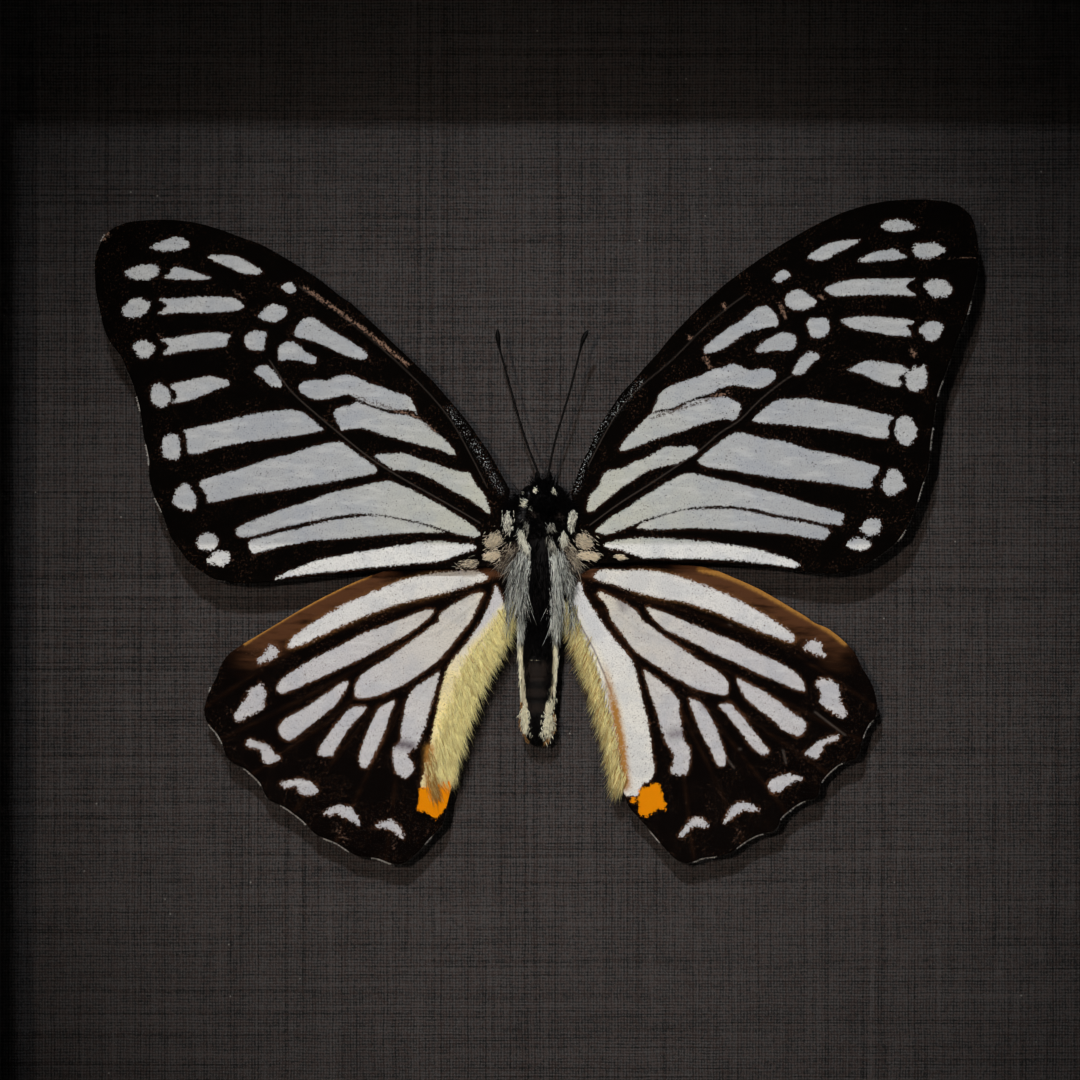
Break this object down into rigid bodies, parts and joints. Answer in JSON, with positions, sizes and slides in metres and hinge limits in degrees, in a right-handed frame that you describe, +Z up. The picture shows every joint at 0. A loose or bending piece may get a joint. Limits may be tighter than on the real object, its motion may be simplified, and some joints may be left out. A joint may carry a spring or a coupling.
{
  "type": "framed butterfly specimen",
  "caption": "Square black shadow-box frame with a glazed deep recess holding a spread, black-and-white banded swallowtail butterfly on dark linen card.",
  "frame": {"origin": "middle of the underside of the bounding box, on the surface the frame stands on", "axes": "+Z up, the glass faces -Y, +X to the viewer's right"},
  "size_m": [0.14, 0.038, 0.14],
  "materials": {
    "frame_wood": "black stained and satin lacquered",
    "glazing": "clear float glass",
    "box_lining": "matt black",
    "linen_card": "linen-embossed, matt black",
    "backing_board": "bare hardboard",
    "tab_steel": "bright zinc",
    "hanger_plate": "brass-plated",
    "bumper_rubber": "matt",
    "forewing_scales": "dry wing scales, black with bluish white bars",
    "hindwing_scales": "dry wing scales, brown-black with cream bars and an orange spot",
    "head_cuticle": "black with white scale spots",
    "body_hair": "black with grey and white hair",
    "abdomen_scales": "black scaled with cream sides",
    "antenna_cuticle": "smooth black"
  },
  "bodies": {
    "root": {"rail_top": "frame_wood", "rail_bottom": "frame_wood", "rail_left": "frame_wood", "rail_right": "frame_wood", "glazing": "glazing", "spacer_top": "box_lining", "spacer_bottom": "box_lining", "spacer_left": "box_lining", "spacer_right": "box_lining", "backing_card": "linen_card", "backing_board": "backing_board", "board_tab_top_a": "tab_steel", "board_tab_top_b": "tab_steel", "board_tab_bottom_a": "tab_steel", "board_tab_bottom_b": "tab_steel", "board_tab_left_a": "tab_steel", "board_tab_left_b": "tab_steel", "board_tab_right_a": "tab_steel", "board_tab_right_b": "tab_steel", "sawtooth_hanger": "hanger_plate", "hanger_nail_left": "tab_steel", "hanger_nail_right": "tab_steel", "bumper_left": "bumper_rubber", "bumper_right": "bumper_rubber", "forewing_left": "forewing_scales", "forewing_right": "forewing_scales", "hindwing_left": "hindwing_scales", "hindwing_right": "hindwing_scales", "head": "head_cuticle", "thorax": "body_hair", "abdomen": "abdomen_scales", "antenna_left": "antenna_cuticle", "antenna_right": "antenna_cuticle"}
  },
  "joints": []
}
